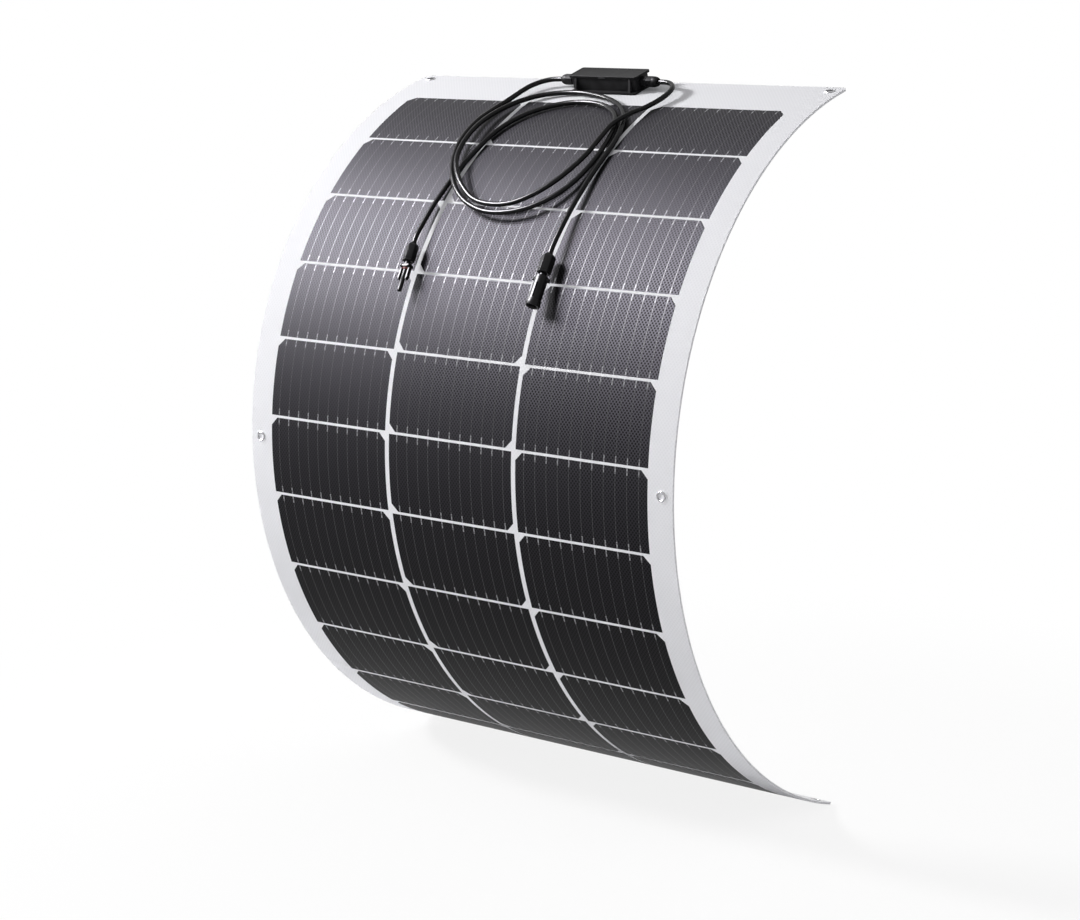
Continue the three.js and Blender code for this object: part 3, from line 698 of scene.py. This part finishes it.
diode_radius = 0.0026
bm = bmesh.new()
spun(bm, [(0, -0.005), (0.0022, -0.005), (diode_radius, -0.0046), (diode_radius, 0.0030), (0.00265, 0.0031),
          (0.00265, 0.0040), (diode_radius, 0.0041), (diode_radius, 0.0046), (0.0022, 0.005), (0, 0.005)],
     28)
leg = bmesh.new()
spun(leg, [(0, -0.0102), (0.0006, -0.0102), (0.0006, 0.0102), (0, 0.0102)], 10)
join(bm, leg)
lying = Matrix.Rotation(math.pi / 2, 4, "Y")
diode_seat = box_seat @ Matrix.Translation((0, 0, floor_top + diode_radius)) @ lying
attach(finished(bm, "bypass_diode_body", diode_seat, plastic, "bypass_diode"), "top_section")


# ------------------------------------------------------------------ cable glands
# A threaded body in each end wall of the box, with a six-sided collar, and a six-sided nut with a domed
# end that is screwed on it and squeezes a seal round the lead.
gland_height = 0.0103
collar_flats = 0.012
nut_flats = 0.013
thread_start = 0.0530
thread_pitch = 0.0013
thread_turns = 7


def gland_place(side):
    """A frame along the axis of a gland, with Z away from the box."""
    turned = Matrix(((0, 0, side, 0), (0, 1, 0, 0), (-side, 0, 0, gland_height), (0, 0, 0, 1)))
    return box_seat @ turned


for side_name, side in (("left", -1), ("right", 1)):
    bm = bmesh.new()
    corner = collar_flats / math.sqrt(3)
    spun(bm, [(0.0036, 0.0473), (corner, 0.0473), (corner, 0.0533), (0.0036, 0.0533)], 6)
    round_edges(bm, 0.0004)
    outline = [(0.0034, 0.043), (0.0044, 0.043)]
    for turn in range(thread_turns):
        z = thread_start + turn * thread_pitch
        outline += [(0.0041, z), (0.0045, z + 0.0005), (0.0045, z + 0.0007)]
    outline += [(0.0042, 0.0626), (0.0034, 0.0626)]
    thread = bmesh.new()
    spun(thread, outline, 28)
    join(bm, thread)
    node = f"gland_body_{side_name}"
    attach(finished(bm, node + "_collar", gland_place(side), plastic, node), "top_section")

    bm = bmesh.new()
    corner = nut_flats / math.sqrt(3)
    spun(bm, [(0.0048, 0.0536), (corner - 0.0004, 0.0536), (corner, 0.0540), (corner, 0.0552),
              (corner - 0.0005, 0.0556), (corner - 0.0005, 0.0646), (0.0048, 0.0646)], 6)
    round_edges(bm, 0.00035)
    dome = bmesh.new()
    spun(dome, [(0.0035, 0.0640), (0.0064, 0.0640), (0.0064, 0.0656), (0.0062, 0.0670), (0.0058, 0.0684),
                (0.0053, 0.0696), (0.0049, 0.0704), (0.0046, 0.0706), (0.0035, 0.0706)], 36)
    join(bm, dome)
    node = f"gland_nut_{side_name}"
    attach(finished(bm, node + "_hex", gland_place(side), plastic, node), node)


# ------------------------------------------------------------------ connectors
# A male and a female solar plug of black polyamide. A six-sided cap nut clamps the lead in the neck of
# each housing; the male one has two springy arms and a red seal, the female one a slotted barrel. Heights
# in the outlines run along each connector from the mouth of its cap nut.
plug_plastic = hard_material("plug_plastic", (0.007, 0.007, 0.0075), (0.03, 0.03, 0.032), roughness=0.33,
                             spread=0.14, grain=2200, relief=0.15, gloss=0.1)
seal_rubber = hard_material("seal_rubber", (0.20, 0.028, 0.018), (0.3, 0.05, 0.03), roughness=0.5,
                            spread=0.1, grain=1500, relief=0.2)
plugs_down = 0.326


def plug_place(across, height, tilt):
    """A frame along the axis of a connector, with Z away from its lead and Y out of the sheet."""
    seat = sheet_place(on_sheet(across, plugs_down, film_height + height), plugs_down)
    return seat @ Matrix.Rotation(math.radians(tilt), 4, "Z") @ Matrix.Rotation(math.pi / 2, 4, "X")


male_place = plug_place(-0.1016, 0.0114, 5.5)
female_place = plug_place(0.0997, 0.0122, 2.7)
for node, place, flats, neck in (
    ("male_cap_nut", male_place, 0.013, 0.0035), ("female_cap_nut", female_place, 0.0146, 0.0039),
):
    bm = bmesh.new()
    corner = flats / math.sqrt(3)
    bore = neck + 0.0005
    spun(bm, [(0.0037, 0), (corner - 0.0022, 0), (corner - 0.0004, 0.0024), (corner, 0.0031),
              (corner, 0.0196), (corner - 0.0004, 0.0200), (corner - 0.0004, 0.0206), (corner, 0.0210),
              (corner, 0.0226), (corner - 0.0005, 0.0230), (bore, 0.0230), (bore, 0.0131),
              (0.0037, 0.0126)], 6, math.pi / 6)
    round_edges(bm, 0.0004, 3, 40)
    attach(finished(bm, node + "_hex", place, plug_plastic, node), node)

neck_end = 0.0267
bm = bmesh.new()
cuboid(bm, (0.0134, 0.009, 0.0043), (0, 0, neck_end + 0.00215))
round_edges(bm, 0.0012, 4)
for side in (-1, 1):
    tab = bmesh.new()
    cuboid(tab, (0.0030, 0.0056, 0.0026), (side * 0.0052, 0.0024, neck_end + 0.0021))
    round_edges(tab, 0.0007, 3)
    join(bm, tab)
stem = bmesh.new()
spun(stem, [(0, 0.0133), (0.0035, 0.0133), (0.0035, 0.0236), (0.0032, 0.0240), (0.0032, 0.0250),
            (0.0035, 0.0254), (0.0035, 0.0272), (0.00275, 0.0300), (0.00275, 0.0332), (0, 0.0332)], 32)
join(bm, stem)
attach(finished(bm, "male_housing_body", male_place, plug_plastic, "male_housing"), "row_03")

bm = bmesh.new()
spun(bm, [(0.0031, 0.0313), (0.0038, 0.0313), (0.00405, 0.0317), (0.00385, 0.0321), (0.00405, 0.0325),
          (0.0038, 0.0329), (0.0031, 0.0329)], 32)
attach(finished(bm, "male_seal_ring", male_place, seal_rubber, "male_seal"), "row_03")

bm = bmesh.new()
spun(bm, [(0, 0.0385), (0.0018, 0.0385), (0.0018, 0.0602), (0.0021, 0.0605), (0.0024, 0.0605),
          (0.0027, 0.0600), (0.00275, 0.0590), (0.00275, 0.0475), (0.00262, 0.0472), (0.00262, 0.0466),
          (0.00275, 0.0463), (0.00275, 0.0335), (0, 0.0335)], 32)
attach(finished(bm, "male_sleeve_tube", male_place, plug_plastic, "male_sleeve"), "row_03")

arm_width = 0.005
arm_outline = [(0.0045, 0.0313), (0.0067, 0.0313), (0.0067, 0.0413), (0.0074, 0.0420), (0.0060, 0.0463),
               (0.0045, 0.0463)]
for side_name, side in (("left", -1), ("right", 1)):
    bm = bmesh.new()
    face = bm.faces.new([bm.verts.new((side * x, -arm_width / 2, z)) for x, z in arm_outline])
    pushed(bm, face, (0, arm_width, 0))
    bmesh.ops.recalc_face_normals(bm, faces=bm.faces)
    round_edges(bm, 0.0004, 3)
    node = f"locking_arm_{side_name}"
    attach(finished(bm, node + "_spring", male_place, plug_plastic, node), node)

barrel_radius = 0.0075
bore_radius = 0.0045
slot_low = 0.036
slot_high = 0.0545
slot_half_angle = math.radians(8)
slot_depth = 0.0015
bm = bmesh.new()
spun(bm, [(0, 0.0133), (0.0039, 0.0133), (0.0039, neck_end), (0.0070, neck_end), (barrel_radius, 0.0272),
          (barrel_radius, 0.0357), (barrel_radius, 0.0547), (barrel_radius, 0.0562), (0.0082, 0.0569),
          (0.0082, 0.0630), (0.0078, 0.0637), (0.0060, 0.0637), (0.0050, 0.0633), (bore_radius, 0.0620),
          (bore_radius, 0.0477), (0, 0.0477)], 36)
bmesh.ops.recalc_face_normals(bm, faces=bm.faces)
for quarter in range(4):
    cut = []
    for face in bm.faces:
        centre = face.calc_center_median()
        turn = (math.atan2(centre.y, centre.x) - quarter * math.pi / 2 + math.pi) % (2 * math.pi) - math.pi
        outside = centre.xy.length > 0.007
        if outside and slot_low < centre.z < slot_high and abs(turn) < slot_half_angle:
            cut.append(face)
    bmesh.ops.inset_region(bm, faces=cut, thickness=0.0004, depth=0)
    bmesh.ops.inset_region(bm, faces=cut, thickness=0.0001, depth=-slot_depth)
for side in (-1, 1):
    ear = bmesh.new()
    cuboid(ear, (0.0046, 0.005, 0.004), (side * 0.0076, 0, 0.0307))
    round_edges(ear, 0.0006, 3)
    join(bm, ear)
rolled = female_place @ Matrix.Rotation(math.radians(-15), 4, "Z")
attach(finished(bm, "female_housing_barrel", rolled, plug_plastic, "female_housing"), "row_03")

bm = bmesh.new()
spun(bm, [(0, 0.0480), (0.0016, 0.0480), (0.0016, 0.0565), (0.0014, 0.0570), (0.0009, 0.0570),
          (0.0009, 0.0520), (0, 0.0520)], 24)
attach(finished(bm, "female_contact_socket", female_place, brass, "female_contact"), "row_03")


# ------------------------------------------------------------------ leads
# Two solar cables, 6 mm over a black cross-linked jacket, stiff enough to spring off the sheet. Each leaves
# a gland, takes one turn round the shared loop and ends in its connector, held by nothing on the way.
def between(low, high, start, end, t):
    """The point at a time on the straight way from one point to another, given when it is at each."""
    return low + (high - low) * ((t - start) / (end - start))


def smooth_route(corners, spacing=0.003):
    """Points close together on the smooth curve through the corners."""
    corners = [2 * corners[0] - corners[1]] + corners + [2 * corners[-1] - corners[-2]]
    route = []
    for a, b, c, d in zip(corners, corners[1:], corners[2:], corners[3:]):
        k = [0.0]
        for start, end in ((a, b), (b, c), (c, d)):
            k.append(k[-1] + math.sqrt((end - start).length))
        count = max(1, round((c - b).length / spacing))
        for i in range(count):
            t = k[1] + (k[2] - k[1]) * i / count
            before = between(a, b, k[0], k[1], t)
            along = between(b, c, k[1], k[2], t)
            after = between(c, d, k[2], k[3], t)
            first = between(before, along, k[0], k[2], t)
            second = between(along, after, k[1], k[3], t)
            route.append(between(first, second, k[1], k[2], t))
    route.append(corners[-2])
    return route


def tube_along(name, route, radius, sides=4):
    """A closed tube along a route, with a map of metres along it and round it."""
    curve = bpy.data.curves.new(name, "CURVE")
    curve.dimensions = "3D"
    curve.bevel_depth = radius
    curve.bevel_resolution = sides
    curve.use_fill_caps = True
    spline = curve.splines.new("POLY")
    spline.points.add(len(route) - 1)
    for point, place in zip(spline.points, route):
        point.co = (*place, 1)
    shaper = bpy.data.objects.new(name + "_line", curve)
    scene.collection.objects.link(shaper)
    mesh = bpy.data.meshes.new_from_object(shaper.evaluated_get(bpy.context.evaluated_depsgraph_get()))
    bpy.data.objects.remove(shaper)
    bm = bmesh.new()
    bm.from_mesh(mesh)
    bmesh.ops.remove_doubles(bm, verts=bm.verts, dist=1e-7)
    face_outwards(bm)
    bm.to_mesh(mesh)
    bm.free()
    mesh.shade_smooth()
    length = sum((b - a).length for a, b in zip(route, route[1:]))
    unrolled = mesh.uv_layers[0]
    unrolled.name = "jacket"
    for corner in unrolled.data:
        corner.uv = (corner.uv.x * length, corner.uv.y * 2 * math.pi * radius)
    return new_object(name, mesh)

lead_diameter = 0.006
negative_turns = [
    [-0.0886, 0.0301, 0.0096], [-0.0989, 0.036, 0.0088], [-0.1064, 0.045, 0.0078], [-0.1106, 0.056, 0.0068],
    [-0.1132, 0.07, 0.0058], [-0.1166, 0.086, 0.0052], [-0.121, 0.108, 0.006], [-0.124, 0.134, 0.008],
    [-0.121, 0.168, 0.0102], [-0.114, 0.196, 0.0106], [-0.101, 0.223, 0.0106], [-0.08, 0.248, 0.0106],
    [-0.053, 0.267, 0.011], [-0.022, 0.277, 0.011], [0.008, 0.277, 0.011], [0.037, 0.269, 0.0104],
    [0.061, 0.253, 0.009], [0.077, 0.231, 0.007], [0.084, 0.208, 0.0055], [0.086, 0.186, 0.0044],
    [0.084, 0.163, 0.004], [0.079, 0.141, 0.004], [0.071, 0.121, 0.004], [0.057, 0.102, 0.004],
    [0.033, 0.086, 0.004], [0.003, 0.079, 0.004], [-0.028, 0.083, 0.004], [-0.057, 0.1, 0.004],
    [-0.076, 0.123, 0.004], [-0.088, 0.152, 0.004], [-0.094, 0.186, 0.004], [-0.098, 0.214, 0.004],
    [-0.101, 0.244, 0.0048], [-0.103, 0.272, 0.0066], [-0.1033, 0.299, 0.009],
]
positive_turns = [
    [0.0864, 0.0298, 0.0098], [0.095, 0.035, 0.0094], [0.1014, 0.0434, 0.0088], [0.104, 0.0538, 0.008],
    [0.1032, 0.0644, 0.007], [0.0996, 0.0764, 0.0062], [0.094, 0.091, 0.0064], [0.0868, 0.11, 0.0095],
    [0.079, 0.134, 0.0114], [0.078, 0.16, 0.011], [0.076, 0.186, 0.0106], [0.068, 0.211, 0.0108],
    [0.055, 0.234, 0.0114], [0.037, 0.252, 0.012], [0.012, 0.265, 0.012], [-0.016, 0.268, 0.012],
    [-0.043, 0.263, 0.0124], [-0.066, 0.249, 0.0138], [-0.086, 0.23, 0.015], [-0.101, 0.207, 0.0156],
    [-0.109, 0.176, 0.0146], [-0.112, 0.146, 0.0116], [-0.109, 0.117, 0.0084], [-0.099, 0.09, 0.006],
    [-0.082, 0.07, 0.005], [-0.057, 0.058, 0.0044], [-0.031, 0.054, 0.004], [-0.002, 0.059, 0.004],
    [0.031, 0.071, 0.004], [0.058, 0.089, 0.004], [0.077, 0.111, 0.004], [0.089, 0.137, 0.004],
    [0.095, 0.166, 0.004], [0.096, 0.194, 0.0046], [0.097, 0.222, 0.006], [0.098, 0.25, 0.0078],
    [0.0986, 0.276, 0.0096], [0.099, 0.301, 0.0113],
]

jacket = hard_material("cable_jacket", (0.006, 0.006, 0.0065), (0.02, 0.02, 0.02), roughness=0.25,
                       spread=0.16, grain=900, relief=0.2, gloss=0.1, along="jacket")
for name, side, turns, plug, on_lead in (
    ("lead_negative", -1, negative_turns, male_place,
     ["male_cap_nut_hex", "male_housing_body", "male_seal_ring", "male_sleeve_tube"]),
    ("lead_positive", 1, positive_turns, female_place,
     ["female_cap_nut_hex", "female_housing_barrel", "female_contact_socket"]),
):
    start = [box_point(side * x, 0, gland_height) for x in (0.0709, 0.0766)]
    middle = [on_sheet(across, down, film_height + height) for across, down, height in turns]
    end = [plug @ Vector((0, 0, z)) for z in (-0.009, -0.0003)]
    route = smooth_route(start + middle + end)
    lead = tube_along(name + "_cable", route, lead_diameter / 2)
    lead.data.materials.append(jacket)
    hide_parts(name)
    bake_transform(lead)


# ------------------------------------------------------------------ studio
# A white floor that runs out to a white surround. A small lamp far off at the upper left gives the shadows,
# and a wide card beside it shows only as the sheen on the cells.
def seen_straight(tree):
    """1 where a surface is seen by the camera, in a mirror or through glass, and 0 where it gives light."""
    path = add_node(tree, "LightPath", {}).outputs
    seen = add_node(tree, "Math", {0: path["Is Camera Ray"], 1: path["Is Glossy Ray"]}, operation="MAXIMUM")
    through = add_node(tree, "Math", {0: seen.outputs[0], 1: path["Is Transmission Ray"]},
                       operation="MAXIMUM")
    return through.outputs[0]


floor_middle = (0.1, 0.1, 0)
fade_start = 0.45
fade_end = 1.1
floor_radius = 12
floor_material = bpy.data.materials.new("white_floor")
floor_material.use_nodes = True
tree = floor_material.node_tree
tree.nodes.clear()
matt = add_node(tree, "BsdfDiffuse", {"Color": (0.9, 0.9, 0.9, 1)})
glow = add_node(tree, "Emission", {})
place = add_node(tree, "TexCoord", {})
away = add_node(tree, "VectorMath", {0: place.outputs["Object"], 1: floor_middle}, operation="DISTANCE")
fade = add_node(tree, "MapRange", {
    "Value": away.outputs["Value"], "From Min": fade_start, "From Max": fade_end, "To Min": 0.86,
}, interpolation_type="SMOOTHSTEP")
far = add_node(tree, "Math", {0: seen_straight(tree), 1: fade.outputs[0]}, operation="MULTIPLY")
white = add_node(tree, "MixShader", {0: far.outputs[0], 1: matt.outputs[0], 2: glow.outputs[0]})
add_node(tree, "OutputMaterial", {"Surface": white.outputs[0]})
bm = bmesh.new()
bmesh.ops.create_circle(bm, cap_ends=True, segments=96, radius=floor_radius)
floor_mesh = bpy.data.meshes.new("floor")
bm.to_mesh(floor_mesh)
bm.free()
floor_mesh.materials.append(floor_material)
floor = new_object("floor", floor_mesh)
floor.location.z = min(cad_box[0][2], 0) - 0.0005

world = bpy.data.worlds.new("studio")
world.use_nodes = True
scene.world = world
tree = world.node_tree
strength = add_node(tree, "MapRange", {"Value": seen_straight(tree), "To Min": 0.44, "To Max": 1.0})
background = tree.nodes["Background"].inputs
background["Color"].default_value = (1, 1, 1, 1)
tree.links.new(strength.outputs[0], background["Strength"])

lamps_aim = Vector((0, 0.1, 0.55))


def softbox(name, direction, distance, size, power, colour=(1, 1, 1)):
    """A round soft lamp in a direction from the middle of the sheet, aimed back at it."""
    lamp = bpy.data.lights.new(name, "AREA")
    lamp.shape = "DISK"
    lamp.size = size
    lamp.energy = power
    lamp.color = colour
    holder = bpy.data.objects.new(name, lamp)
    towards = Vector(direction).normalized()
    holder.location = lamps_aim + towards * distance
    holder.rotation_euler = towards.to_track_quat("Z", "Y").to_euler()
    scene.collection.objects.link(holder)
    return holder


softbox("key", (-0.86, -0.28, 0.42), distance=5.0, size=0.8, power=290)
sheen_card = softbox("sheen_card", (-0.60, -0.44, 0.63), distance=4.4, size=1.9, power=1850,
                     colour=(0.96, 0.94, 1))
sheen_card.visible_diffuse = False

scene.view_settings.view_transform = "Standard"
